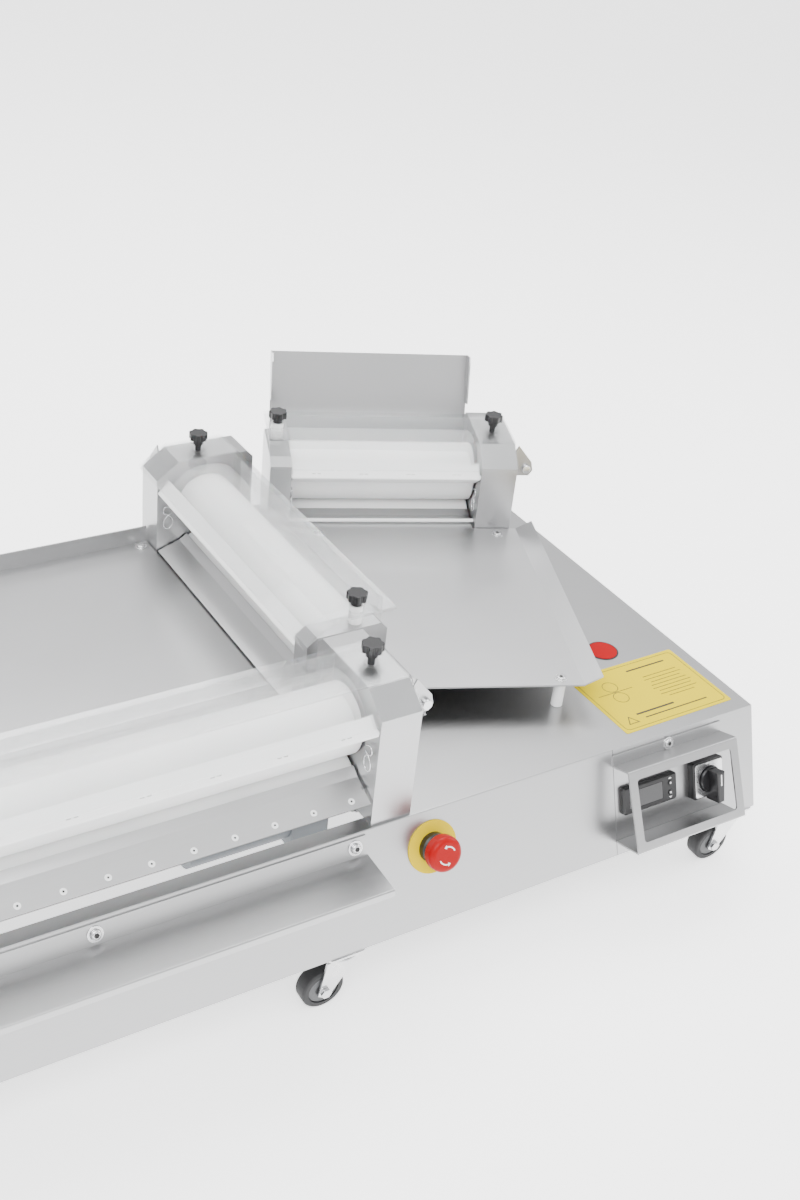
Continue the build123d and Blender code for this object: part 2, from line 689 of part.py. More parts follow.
def front_shelf():
    """Panel on the front face that folds out into a shelf under station 3's outfeed."""
    out = SHELF_OUT
    points = [(front_y(SHELF_TOP, 0.05), SHELF_TOP), (front_y(SHELF_FOLD, 0.05), SHELF_FOLD),
              (front_y(SHELF_FOLD) - out, SHELF_FOLD - 2), (front_y(SHELF_FOLD) - out - 1, SHELF_FOLD - 8)]
    return bent_sheet(points, -SHEET, SHELF_LEFT, SHELF_RIGHT - SHELF_LEFT)


def control_guard():
    """Sheet cage over the controls, open at its ends, with a window in its face."""
    lean = radians(FRONT_SLANT)
    top_z = -20.0
    top_out = 27.0
    corner = (front_y(top_z) - top_out * cos(lean), top_z + top_out * sin(lean))
    foot = (-75.0, -95.0)
    points = [(front_y(-6), -6), (front_y(top_z), top_z), corner, foot, (front_y(-106, 0.3), -106)]
    width = GUARD_RIGHT - GUARD_LEFT
    cage = bent_sheet(points, -SHEET, GUARD_LEFT, width)
    face_length = sqrt((corner[0] - foot[0]) ** 2 + (corner[1] - foot[1]) ** 2)
    along = Vector(0, corner[0] - foot[0], corner[1] - foot[1]).normalized()
    middle = Vector((GUARD_LEFT + GUARD_RIGHT) / 2, (corner[0] + foot[0]) / 2, (corner[1] + foot[1]) / 2)
    face = Plane(origin=middle, x_dir=(1, 0, 0), z_dir=Vector(1, 0, 0).cross(along))
    with BuildPart() as guard_part:
        add(cage)
        with BuildSketch(face.offset(-4)):
            RectangleRounded(width - 22, face_length - 19, 4)
        extrude(amount=8, mode=Mode.SUBTRACT)
    return guard_part.part


def display_module():
    plane = front_plane(DISPLAY_X, DISPLAY_Z)
    with BuildPart() as module:
        with BuildSketch(plane):
            RectangleRounded(DISPLAY_WIDTH, DISPLAY_HEIGHT, 4)
        extrude(amount=7)
        chamfer(module.faces().sort_by(Axis(plane.origin, plane.z_dir))[-1].edges(), 2.0)
        with BuildSketch(plane):
            Rectangle(DISPLAY_WIDTH - 9, DISPLAY_HEIGHT - 7)
        extrude(amount=-40)
        with BuildSketch(plane.offset(7)):
            with Locations((-7, 0)):
                RectangleRounded(50, 22, 1.5)
        extrude(amount=-0.8, mode=Mode.SUBTRACT)
        with BuildSketch(plane.offset(7)):
            with Locations((29, 6), (29, -6)):
                Circle(3 + FIT_GAP)
        extrude(amount=-4, mode=Mode.SUBTRACT)
    return module.part


def key(up):
    plane = front_plane(DISPLAY_X, DISPLAY_Z, 7)
    with BuildPart() as cap:
        with BuildSketch(plane.offset(-2.2)):
            with Locations((29, 6 * up)):
                Circle(3)
        extrude(amount=3.2)
        fillet(cap.faces().sort_by(Axis(plane.origin, plane.z_dir))[-1].edges(), 0.6)
    return cap.part


def switch_plate():
    """Square base of the cam switch with its face plate, and the contact block behind."""
    plane = front_plane(SWITCH_X, SWITCH_Z)
    with BuildPart() as base:
        with BuildSketch(plane):
            RectangleRounded(SWITCH_PLATE, SWITCH_PLATE, 3)
        extrude(amount=11)
        chamfer(base.faces().sort_by(Axis(plane.origin, plane.z_dir))[-1].edges(), 1.2)
        with BuildSketch(plane):
            Circle(10)
        extrude(amount=-12)
        with BuildSketch(plane.offset(-12)):
            Rectangle(40, 40)
        extrude(amount=-32)
        with BuildSketch(plane.offset(11)):
            Circle(4 + RUNNING)
        extrude(amount=-14, mode=Mode.SUBTRACT)
    return base.part


def switch_handle():
    plane = front_plane(SWITCH_X, SWITCH_Z, 11)
    with BuildPart() as handle:
        with BuildSketch(plane.offset(FIT_GAP)):
            Circle(15)
        extrude(amount=6)
        with BuildSketch(plane.offset(FIT_GAP)):
            with BuildLine():
                Polyline((-6, 14), (6, 14), (4.5, -24), (-4.5, -24), close=True)
            make_face()
        extrude(amount=22)
        outer = handle.faces().sort_by(Axis(plane.origin, plane.z_dir))[-1]
        fillet(outer.edges(), 1.8)
        with BuildSketch(plane.offset(-12)):
            Circle(4)
        extrude(amount=12 + FIT_GAP)
    return handle.part


def stop_disc():
    plane = front_plane(STOP_X, STOP_Z)
    with BuildPart() as disc:
        with BuildSketch(plane):
            Circle(STOP_DISC_R)
            Circle(11.5, mode=Mode.SUBTRACT)
        extrude(amount=1.6)
    return disc.part


def stop_collar():
    """Black collar of the stop button with its neck through the panel and its contact block."""
    plane = front_plane(STOP_X, STOP_Z)
    with BuildPart() as collar:
        with BuildSketch(plane.offset(1.6)):
            Circle(17)
        extrude(amount=9)
        chamfer(collar.faces().sort_by(Axis(plane.origin, plane.z_dir))[-1].edges(), 2)
        with BuildSketch(plane.offset(1.6)):
            Circle(11)
        extrude(amount=-16)
        with BuildSketch(plane.offset(-14)):
            Rectangle(30, 30)
        extrude(amount=-26)
        with BuildSketch(plane.offset(10.6)):
            Circle(6 + RUNNING)
        extrude(amount=-20, mode=Mode.SUBTRACT)
    return collar.part


def stop_cap():
    """Red mushroom cap, standing clear of its collar by its travel, on its plunger."""
    plane = front_plane(STOP_X, STOP_Z, 10.6 + STOP_TRAVEL + FIT_GAP)
    with BuildPart() as cap:
        with BuildSketch(plane):
            Circle(20)
        extrude(amount=15)
        fillet(cap.faces().sort_by(Axis(plane.origin, plane.z_dir))[-1].edges(), 6)
        fillet(cap.faces().sort_by(Axis(plane.origin, plane.z_dir))[0].edges(), 2)
        with BuildSketch(plane):
            Circle(6)
        extrude(amount=-STOP_TRAVEL - 13)
    return cap.part


# ---- casters -----------------------------------------------------------------------------------
def caster_spots():
    columns = (-CASTER_INSET_X, CASTER_MIDDLE_X, CASTER_INSET_X - BASE_WIDTH)
    rows = (CASTER_INSET_FRONT - FRONT_OUT, BASE_DEPTH - CASTER_INSET_BACK)
    return [(x, y) for y in rows for x in columns]


def caster_plates():
    """Top plates with the upper race of every caster."""
    plates = []
    for x, y in caster_spots():
        with BuildPart() as plate:
            with BuildSketch(Plane.XY.offset(-BASE_HEIGHT)):
                RectangleRounded(PLATE_SIZE, PLATE_SIZE, 5)
            extrude(amount=-PLATE_THICK)
            with BuildSketch(Plane.XY.offset(-BASE_HEIGHT - PLATE_THICK)):
                Circle(RACE_R)
            extrude(amount=-6)
            fillet(plate.faces().sort_by(Axis.Z)[0].edges(), 2)
            with BuildSketch(Plane.XY.offset(-BASE_HEIGHT)):
                Circle(KINGPIN_R + RUNNING)
            extrude(amount=-20, mode=Mode.SUBTRACT)
        plates.append(Pos(x, y, 0) * plate.part)
    return group(plates)


def caster_fork():
    race_top = -BASE_HEIGHT - PLATE_THICK - 6 - FIT_GAP
    axle_z = -BASE_HEIGHT - CASTER_HEIGHT + WHEEL_R
    inside = WHEEL_WIDTH / 2 + 1
    with BuildPart() as fork:
        with BuildSketch(Plane.XY.offset(race_top)):
            Circle(RACE_R - 1)
        extrude(amount=-7)
        fillet(fork.edges().filter_by(GeomType.CIRCLE).sort_by(Axis.Z)[0], 2)
        for side in (-1, 1):
            low = min(side * inside, side * (inside + 2.5))
            with BuildSketch(Plane.XZ.offset(-low - 2.5)):
                with BuildLine():
                    Polyline((-19, race_top - 4), (19, race_top - 4), (-CASTER_TRAIL + 8, axle_z - 4),
                             (-CASTER_TRAIL, axle_z - 9), (-CASTER_TRAIL - 8, axle_z - 4), close=True)
                make_face()
            extrude(amount=2.5)
        with BuildSketch(Plane.XZ.offset(-inside - 3.5)):
            with Locations((-CASTER_TRAIL, axle_z)):
                Circle(AXLE_R)
        extrude(amount=2 * inside + 7)
        with BuildSketch(Plane.XY.offset(race_top)):
            Circle(KINGPIN_R)
        extrude(amount=5)
    return fork.part


def caster_wheel():
    axle_z = -BASE_HEIGHT - CASTER_HEIGHT + WHEEL_R
    with BuildPart() as wheel:
        with BuildSketch(Plane.XZ.offset(-WHEEL_WIDTH / 2)):
            with Locations((-CASTER_TRAIL, axle_z)):
                Circle(WHEEL_R)
        extrude(amount=WHEEL_WIDTH)
        fillet(wheel.edges().filter_by(GeomType.CIRCLE), 3)
        for plane in (Plane.XZ.offset(-WHEEL_WIDTH / 2), Plane.XZ.offset(WHEEL_WIDTH / 2 - 2)):
            with BuildSketch(plane):
                with Locations((-CASTER_TRAIL, axle_z)):
                    Circle(WHEEL_R - 7)
                    Circle(9, mode=Mode.SUBTRACT)
            extrude(amount=2, mode=Mode.SUBTRACT)
        with BuildSketch(Plane.XZ.offset(-WHEEL_WIDTH / 2)):
            with Locations((-CASTER_TRAIL, axle_z)):
                Circle(AXLE_R + RUNNING)
        extrude(amount=WHEEL_WIDTH, mode=Mode.SUBTRACT)
    return wheel.part


# ---- fasteners ---------------------------------------------------------------------------------
def screw(head_r, head, shank_r, shank):
    """Domed screw standing on the plane z = 0, its shank below."""
    with BuildPart() as bolt:
        with BuildSketch():
            Circle(head_r)
        extrude(amount=head)
        fillet(bolt.faces().sort_by(Axis.Z)[-1].edges(), head * 0.45)
        if shank:
            with BuildSketch():
                Circle(shank_r)
            extrude(amount=-shank)
    return bolt.part


def screws_and_rivets():
    pieces = []
    st1 = STATIONS["1"]
    for x, y in plate_spots():
        pieces.append(in_station(st1, Pos(x, y, PLATE_TOP) * screw(5, 2.6, 2.15, 12)))
    table_right = STATIONS["2"]["x"] - FACE_Y - 2
    for x in (table_right - 12, -840, 30 - BASE_WIDTH):
        pieces.append(Pos(x, TABLE_BACK_Y - 12, SHEET) * screw(5, 3, 0, 0))
    for x in (SHELF_RIGHT - 14, (SHELF_LEFT + SHELF_RIGHT) / 2, SHELF_LEFT + 14):
        pieces.append(front_plane(x, -14, SHEET + 0.05).location * screw(5.5, 5, 0, 0))
    pieces.append(front_plane((GUARD_LEFT + GUARD_RIGHT) / 2, -12, SHEET).location * screw(5, 3, 0, 0))
    st3 = STATIONS["3"]
    low = lower_z(st3)
    slope = atan(14 / 30)
    rivet_plane = Plane(origin=(0, 58, low + 12 + 8 * tan(slope)), x_dir=(1, 0, 0),
                        z_dir=(0, sin(slope), cos(slope)))
    count = 13
    for index in range(count):
        x = (index - (count - 1) / 2) * RIVET_PITCH
        spot = rivet_plane.location * Pos(x, 0, 0)
        pieces.append(in_station(st3, spot * screw(RIVET_R, 0.8, 0, 0)))
    return group(pieces)


def build():
    keep("base_cabinet", base_cabinet())
    keep("work_table", work_table())
    keep("transfer_plate", transfer_plate())
    keep("white_spacers", white_spacers())
    keep("screws_and_rivets", screws_and_rivets())
    keep("front_shelf", front_shelf())
    keep("control_guard", control_guard())
    keep("display_module", display_module())
    keep("key_up", key(1))
    keep("key_down", key(-1))
    keep("switch_plate", switch_plate())
    keep("switch_handle", switch_handle())
    keep("stop_disc", stop_disc())
    keep("stop_collar", stop_collar())
    keep("stop_cap", stop_cap())
    keep("infeed_chute", infeed_chute())
    keep("drive_units", drive_units())
    for name, st in STATIONS.items():
        keep(f"drive_tower_{name}", tower(st, st["drive"]))
        keep(f"idle_tower_{name}", tower(st, -st["drive"]))
        keep(f"cover_{name}", cover(st))
        keep(f"drive_knob_{name}", knob(st, st["drive"]))
        keep(f"idle_knob_{name}", knob(st, -st["drive"]))
        keep(f"bearing_blocks_{name}", carriage(st))
        keep(f"upper_roller_{name}", roller(st, upper_z(st), 0.5, False))
        keep(f"lower_roller_{name}", roller(st, lower_z(st), 0.0, True))
        keep(f"scraper_{name}", scraper(st))
        keep(f"outfeed_guard_{name}", guard(st))
    keep("caster_plates", caster_plates())
    for number, (x, y) in enumerate(caster_spots(), start=1):
        keep(f"caster_fork_{number}", Pos(x, y, 0) * caster_fork())
        keep(f"caster_wheel_{number}", Pos(x, y, 0) * caster_wheel())


build()
whole = Compound(children=[Compound(shape.solids()) for shape in parts.values()]).bounding_box()
ORIGIN = Vector((whole.min.X + whole.max.X) / 2, (whole.min.Y + whole.max.Y) / 2,
                -BASE_HEIGHT - CASTER_HEIGHT)
os.makedirs("parts", exist_ok=True)
for part_name, shape in parts.items():
    moved = Location(-ORIGIN) * shape
    moved.label = part_name
    export_step(moved, f"parts/{part_name}.step")
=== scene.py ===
"""Looks of the dough sheeter: materials, labels, small hardware, light and camera."""
import math

import bmesh
import bpy
from mathutils import Matrix, Vector


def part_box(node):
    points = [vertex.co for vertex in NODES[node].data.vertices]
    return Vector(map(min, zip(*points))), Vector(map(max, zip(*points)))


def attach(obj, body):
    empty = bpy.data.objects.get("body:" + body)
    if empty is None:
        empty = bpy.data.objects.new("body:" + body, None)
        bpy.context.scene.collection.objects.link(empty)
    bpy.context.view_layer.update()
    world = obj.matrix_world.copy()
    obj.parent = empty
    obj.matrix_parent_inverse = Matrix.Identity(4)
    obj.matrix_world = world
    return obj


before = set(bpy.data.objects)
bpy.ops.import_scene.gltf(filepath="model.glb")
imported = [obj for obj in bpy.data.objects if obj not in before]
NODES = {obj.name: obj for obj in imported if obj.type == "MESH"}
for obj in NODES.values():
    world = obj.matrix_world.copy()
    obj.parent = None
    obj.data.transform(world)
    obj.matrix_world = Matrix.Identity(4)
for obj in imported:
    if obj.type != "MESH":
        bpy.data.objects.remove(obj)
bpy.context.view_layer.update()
MACHINE = "machine"

# ---- places ------------------------------------------------------------------------------------
LEAN = math.radians(19.6)   # how far the front leans out towards its foot
FRONT_HEIGHT = 124.0        # millimetres, as all sizes and places below
BASE_LOW, BASE_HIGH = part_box("base_cabinet")
CORNER = Vector((BASE_HIGH[0], BASE_LOW[1] + FRONT_HEIGHT / 1000.0 * math.tan(LEAN), BASE_HIGH[2]))
SWITCH = (-81.0, -65.0)     # places of the controls on the front: along it, and up from its top edge
DISPLAY = (-166.0, -62.0)
KEYS = (-137.0, -62.0)
STOP = (-462.0, -40.0)
STATIONS = {
    "1": dict(x=-214.0, y=545.0, turn=158.14, clear=254.0, height=150.0, drive=-1),
    "2": dict(x=-450.0, y=402.5, turn=90.0, clear=379.0, height=128.0, drive=1),
    "3": dict(x=-817.0, y=70.0, turn=180.0, clear=570.0, height=157.0, drive=-1),
}


def deck(x, y, z=0.0):
    """Millimetres from the deck's front right corner, in the row frame."""
    return CORNER + Vector((x, y, z)) / 1000.0


def front_matrix(x, z, out=0.0):
    """x along the front, y up the slope, z outwards; origin on the slanted front."""
    normal = Vector((0, -math.cos(LEAN), math.sin(LEAN)))
    up = Vector((0, math.sin(LEAN), math.cos(LEAN)))
    spot = deck(x, math.tan(LEAN) * z, z) + normal * out / 1000.0
    turn = Matrix((Vector((1, 0, 0)), up, normal)).transposed().to_4x4()
    return Matrix.Translation(spot) @ turn


def station_matrix(name, x, y, z):
    st = STATIONS[name]
    turn = Matrix.Rotation(math.radians(st["turn"]), 4, "Z")
    local = turn @ Vector((x, y, z))
    return Matrix.Translation(deck(st["x"] + local.x, st["y"] + local.y, local.z)) @ turn


# ---- materials ---------------------------------------------------------------------------------
def start_material(name):
    material = bpy.data.materials.new(name)
    material.use_nodes = True
    nodes = material.node_tree.nodes
    shader = nodes["Principled BSDF"]
    return material, nodes, material.node_tree.links, shader


def noise(nodes, links, scale, detail=4.0, stretch=(1, 1, 1), turn=0.0, rough=0.55):
    coords = nodes.new("ShaderNodeTexCoord")
    place = nodes.new("ShaderNodeMapping")
    place.inputs["Scale"].default_value = stretch
    place.inputs["Rotation"].default_value = (0, 0, turn)
    texture = nodes.new("ShaderNodeTexNoise")
    texture.inputs["Scale"].default_value = scale
    texture.inputs["Detail"].default_value = detail
    texture.inputs["Roughness"].default_value = rough
    links.new(coords.outputs["Object"], place.inputs["Vector"])
    links.new(place.outputs["Vector"], texture.inputs["Vector"])
    return texture.outputs["Fac"]


def ranged(nodes, links, value, low, high, from_low=0.3, from_high=0.7):
    node = nodes.new("ShaderNodeMapRange")
    node.inputs["From Min"].default_value = from_low
    node.inputs["From Max"].default_value = from_high
    node.inputs["To Min"].default_value = low
    node.inputs["To Max"].default_value = high
    links.new(value, node.inputs["Value"])
    return node.outputs["Result"]


def ramp(nodes, links, value, low, high, from_low=0.3, from_high=0.7):
    node = nodes.new("ShaderNodeValToRGB")
    node.color_ramp.elements[0].position = from_low
    node.color_ramp.elements[0].color = (*low, 1)
    node.color_ramp.elements[1].position = from_high
    node.color_ramp.elements[1].color = (*high, 1)
    links.new(value, node.inputs["Fac"])
    return node.outputs["Color"]


def bump(nodes, links, value, shader, strength, distance):
    node = nodes.new("ShaderNodeBump")
    node.inputs["Strength"].default_value = strength
    node.inputs["Distance"].default_value = distance
    links.new(value, node.inputs["Height"])
    links.new(node.outputs["Normal"], shader.inputs["Normal"])


def brushed(name, along=(1.0, 0.0), tone=0.66, rough=(0.29, 0.36), vertical=False):
    """Brushed stainless: fine lines along one direction, faint cloudiness, slight wear."""
    material, nodes, links, shader = start_material(name)
    turn = -math.atan2(along[1], along[0])
    stretch = (1500, 1500, 12) if vertical else (12, 1500, 1500)
    lines = noise(nodes, links, 1.0, 2.0, stretch, turn, 0.7)
    cloud = noise(nodes, links, 6.0, 3.0)
    both = nodes.new("ShaderNodeMath")
    both.operation = "MULTIPLY_ADD"
    links.new(cloud, both.inputs[0])
    both.inputs[1].default_value = 0.25
    links.new(lines, both.inputs[2])
    low = tuple(tone * v for v in (0.965, 0.97, 0.98))
    high = tuple(tone * v for v in (1.03, 1.03, 1.035))
    links.new(ramp(nodes, links, both.outputs[0], low, high, 0.45, 1.0), shader.inputs["Base Color"])
    sheen = ranged(nodes, links, both.outputs[0], rough[0], rough[1], 0.45, 1.0)
    links.new(sheen, shader.inputs["Roughness"])
    shader.inputs["Metallic"].default_value = 1.0
    bump(nodes, links, lines, shader, 0.02, 0.0002)
    return material


def plastic(name, colour, rough, spread=0.05, grain=900.0, bumpiness=0.05, shine=0.5):
    """Moulded or turned plastic with a fine grain and slightly uneven sheen."""
    material, nodes, links, shader = start_material(name)
    grains = noise(nodes, links, grain, 3.0)
    cloud = noise(nodes, links, 14.0, 3.0)
    low = tuple(max(v * (1 - spread), 0) for v in colour)
    high = tuple(min(v * (1 + spread), 1) for v in colour)
    links.new(ramp(nodes, links, cloud, low, high), shader.inputs["Base Color"])
    links.new(ranged(nodes, links, cloud, rough * 0.85, rough * 1.15), shader.inputs["Roughness"])
    shader.inputs["Specular IOR Level"].default_value = shine
    bump(nodes, links, grains, shader, bumpiness, 0.0002)
    return material


def roller_white(name, along):
    """White roller plastic: turning marks round the axis and a soft sheen."""
    material, nodes, links, shader = start_material(name)
    turn = -math.atan2(along[1], along[0])
    marks = noise(nodes, links, 1.0, 2.0, (500, 3, 3), turn, 0.6)
    cloud = noise(nodes, links, 9.0, 3.0)
    colour = ramp(nodes, links, cloud, (0.83, 0.835, 0.83), (0.89, 0.89, 0.885))
    links.new(colour, shader.inputs["Base Color"])
    links.new(ranged(nodes, links, marks, 0.3, 0.42), shader.inputs["Roughness"])
    shader.inputs["Subsurface Weight"].default_value = 0.08
    shader.inputs["Subsurface Scale"].default_value = 0.006
    bump(nodes, links, marks, shader, 0.06, 0.0002)
    return material


def acrylic():
    material, nodes, links, shader = start_material("clear_acrylic")
    cloud = noise(nodes, links, 5.0, 2.0)
    colour = ramp(nodes, links, cloud, (0.93, 0.955, 0.955), (0.97, 0.985, 0.985))
    links.new(colour, shader.inputs["Base Color"])
    links.new(ranged(nodes, links, cloud, 0.015, 0.04), shader.inputs["Roughness"])
    shader.inputs["Transmission Weight"].default_value = 1.0
    shader.inputs["IOR"].default_value = 1.35
    shader.inputs["Alpha"].default_value = 0.35
    return material


def zinc(name="zinc", tone=0.72):
    material, nodes, links, shader = start_material(name)
    cloud = noise(nodes, links, 60.0, 4.0)
    low = tuple(tone * v for v in (0.86, 0.87, 0.9))
    high = tuple(tone * v for v in (1.05, 1.05, 1.04))
    links.new(ramp(nodes, links, cloud, low, high), shader.inputs["Base Color"])
    links.new(ranged(nodes, links, cloud, 0.16, 0.3), shader.inputs["Roughness"])
    shader.inputs["Metallic"].default_value = 1.0
    bump(nodes, links, cloud, shader, 0.04, 0.0003)
    return material


def finish(node, material):
    """Gives a CAD node one material."""
    obj = NODES[node]
    obj.data.materials.clear()
    obj.data.materials.append(material)


ALONG = {}
for name, st in STATIONS.items():
    ALONG[name] = (math.cos(math.radians(st["turn"])), math.sin(math.radians(st["turn"])))
steel = brushed("steel_along", tone=0.5)
steel_front = brushed("steel_front", tone=0.43, rough=(0.3, 0.37))
steel_plate = brushed("steel_plate", along=(-ALONG["1"][1], ALONG["1"][0]), tone=0.58)
steel_upright = brushed("steel_upright", tone=0.44, vertical=True)
black = plastic("black_plastic", (0.006, 0.006, 0.007), 0.34, 0.2)
black_soft = plastic("black_grained", (0.008, 0.008, 0.009), 0.46, 0.2, 1400.0, 0.1)
white = plastic("white_plastic", (0.86, 0.865, 0.86), 0.4, 0.02)
yellow = plastic("yellow_enamel", (0.6, 0.44, 0.0), 0.6, 0.03, 500.0, 0.02, 0.1)
red = plastic("red_plastic", (0.3, 0.0, 0.001), 0.34, 0.06, 600.0, 0.03, 0.15)
rubber = plastic("black_rubber", (0.012, 0.012, 0.013), 0.6, 0.25, 700.0, 0.18)
grey_paint = plastic("grey_paint", (0.2, 0.22, 0.24), 0.4, 0.08, 300.0, 0.12)
hub_grey = plastic("hub_grey", (0.07, 0.072, 0.075), 0.45, 0.06)
clear = acrylic()
bright = zinc("zinc")
dark_zinc = zinc("zinc_dark", 0.5)

for node in NODES:
    finish(node, steel)
finish("base_cabinet", steel_front)
finish("front_shelf", steel_front)
finish("control_guard", steel_front)
finish("transfer_plate", steel_plate)
finish("white_spacers", white)
finish("screws_and_rivets", bright)
for node in ("display_module", "switch_plate", "stop_collar"):
    finish(node, black_soft)
for node in ("key_up", "key_down", "switch_handle"):
    finish(node, black)
finish("stop_disc", yellow)
finish("stop_cap", red)
finish("drive_units", grey_paint)
finish("caster_plates", bright)
for name in STATIONS:
    finish(f"cover_{name}", clear)
    finish(f"bearing_blocks_{name}", white)
    finish(f"drive_knob_{name}", black)
    finish(f"idle_knob_{name}", black)
    finish(f"drive_tower_{name}", steel_upright)
    finish(f"idle_tower_{name}", steel_upright)
    turned = roller_white(f"roller_white_{name}", ALONG[name])
    finish(f"upper_roller_{name}", turned)
    finish(f"lower_roller_{name}", turned)
    lip = brushed(f"steel_lip_{name}", ALONG[name], 0.5)
    finish(f"outfeed_guard_{name}", lip)
    finish(f"scraper_{name}", white)
finish("infeed_chute", brushed("steel_chute", ALONG["1"], 0.48, (0.28, 0.4)))
for number in range(1, 7):
    finish(f"caster_fork_{number}", bright)
    finish(f"caster_wheel_{number}", rubber)


# ---- new pieces --------------------------------------------------------------------------------
def piece(name, build, material, body, place=None, smooth=True, bevel=0.0):
    """Builds a mesh piece with bmesh in millimetres, sets it in place and lets it ride on a body."""
    mesh = bpy.data.meshes.new(name)
    data = bmesh.new()
    build(data)
    bmesh.ops.scale(data, vec=(0.001, 0.001, 0.001), verts=data.verts)
    bmesh.ops.recalc_face_normals(data, faces=data.faces)
    data.to_mesh(mesh)
    data.free()
    obj = bpy.data.objects.new(name, mesh)
    bpy.context.scene.collection.objects.link(obj)
    mesh.materials.append(material)
    if place is not None:
        mesh.transform(place)
    if bevel:
        edge = obj.modifiers.new("bevel", "BEVEL")
        edge.width = bevel / 1000.0
        edge.segments = 3
        edge.limit_method = "ANGLE"
    if smooth:
        for face in mesh.polygons:
            face.use_smooth = True
        mesh.set_sharp_from_angle(angle=math.radians(32))
    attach(obj, body)
    return obj


def prism(data, outline, low, high):
    """Solid between two heights over a closed outline."""
    bottom = [data.verts.new((x, y, low)) for x, y in outline]
    top = [data.verts.new((x, y, high)) for x, y in outline]
    data.faces.new(reversed(bottom))
    data.faces.new(top)
    count = len(outline)
    for index in range(count):
        other = (index + 1) % count
        data.faces.new((bottom[index], bottom[other], top[other], top[index]))


def ring(data, inner, outer, low, high, count=48, centre=(0, 0)):
    """Flat ring with a square section."""
    rows = []
    for radius, height in ((inner, low), (outer, low), (outer, high), (inner, high)):
        rows.append([data.verts.new((centre[0] + radius * math.cos(2 * math.pi * i / count),
                                     centre[1] + radius * math.sin(2 * math.pi * i / count), height))
                     for i in range(count)])
    for row in range(4):
        after = rows[(row + 1) % 4]
        for i in range(count):
            j = (i + 1) % count
            data.faces.new((rows[row][i], rows[row][j], after[j], after[i]))


def round_outline(radius, count=48, centre=(0, 0)):
    return [(centre[0] + radius * math.cos(2 * math.pi * i / count),
             centre[1] + radius * math.sin(2 * math.pi * i / count)) for i in range(count)]


def rounded(width, height, radius, centre=(0, 0), steps=6):
    points = []
    for sx, sy, first in ((1, 1, 0), (-1, 1, 90), (-1, -1, 180), (1, -1, 270)):
        for step in range(steps + 1):
            angle = math.radians(first + 90 * step / steps)
            points.append((centre[0] + sx * (width / 2 - radius) + radius * math.cos(angle),
                           centre[1] + sy * (height / 2 - radius) + radius * math.sin(angle)))
    return points


def lathe(data, profile, count=40):
    """Turned solid from (radius, height) pairs, first and last on the axis."""
    rows = []
    for radius, height in profile:
        if radius < 1e-6:
            rows.append([data.verts.new((0, 0, height))])
        else:
            rows.append([data.verts.new((radius * math.cos(2 * math.pi * i / count),
                                         radius * math.sin(2 * math.pi * i / count), height))
                         for i in range(count)])
    for one, two in zip(rows, rows[1:]):
        for i in range(count):
            j = (i + 1) % count
            ends = [one[i % len(one)], one[j % len(one)], two[j % len(two)], two[i % len(two)]]
            unique = list(dict.fromkeys(ends))
            if len(unique) >= 3:
                data.faces.new(unique)


# label plate on the deck: plain yellow with a thin border and simple generic marks
LABEL_MATRIX = Matrix.Translation(deck(-98.0, 76.0, 0.0)) @ Matrix.Rotation(math.radians(0.8), 4, "Z")
print_black = plastic("printed_black", (0.012, 0.011, 0.004), 0.5, 0.2, 900.0, 0.02)
label_yellow = plastic("label_yellow", (0.6, 0.47, 0.0), 0.75, 0.02, 260.0, 0.015, 0.04)
piece("label_plate", lambda d: prism(d, rounded(164, 117, 2.5), 0.02, 0.32), label_yellow, MACHINE,
      LABEL_MATRIX, bevel=0.08)


PRINT_LOW, PRINT_HIGH = 0.3, 0.4   # the print lies on the plate


def frame_lines(data, outer, inner, low, high):
    """Thin frame between two outlines of equal length."""
    rows = [[data.verts.new((x, y, z)) for x, y in line]
            for line, z in ((outer, low), (outer, high), (inner, high), (inner, low))]
    count = len(outer)
    for row in range(4):
        after = rows[(row + 1) % 4]
        for i in range(count):
            j = (i + 1) % count
            data.faces.new((rows[row][i], rows[row][j], after[j], after[i]))


def label_marks(data):
    frame_lines(data, rounded(155, 108, 6), rounded(153.6, 106.6, 5.3), PRINT_LOW, PRINT_HIGH)
    # rows of plain bars on the right, a short heading bar, and rollers with a sheet between them
    for row in range(8):
        width = (52, 58, 47, 55, 60, 50, 57, 40)[row]
        prism(data, rounded(width, 0.9, 0.4, (36, 24 - row * 6.2), 2), PRINT_LOW, PRINT_HIGH)
    prism(data, rounded(60, 2.4, 0.6, (28, 42), 2), PRINT_LOW, PRINT_HIGH)
    prism(data, rounded(58, 2.8, 0.6, (-18, -33), 2), PRINT_LOW, PRINT_HIGH)
    prism(data, rounded(96, 1.8, 0.6, (8, -42), 2), PRINT_LOW, PRINT_HIGH)
    ring(data, 9.2, 10.0, PRINT_LOW, PRINT_HIGH, 40, (-42, 24))
    ring(data, 9.2, 10.0, PRINT_LOW, PRINT_HIGH, 40, (-42, 2))
    prism(data, rounded(52, 0.8, 0.3, (-42, 13), 2), PRINT_LOW, PRINT_HIGH)
    triangle = [(-68, -46), (-52, -46), (-60, -32)]
    inner = [(-66, -44.9), (-54, -44.9), (-60, -34.2)]
    frame_lines(data, triangle, inner, PRINT_LOW, PRINT_HIGH)


piece("label_marks", label_marks, print_black, MACHINE, LABEL_MATRIX, smooth=False)

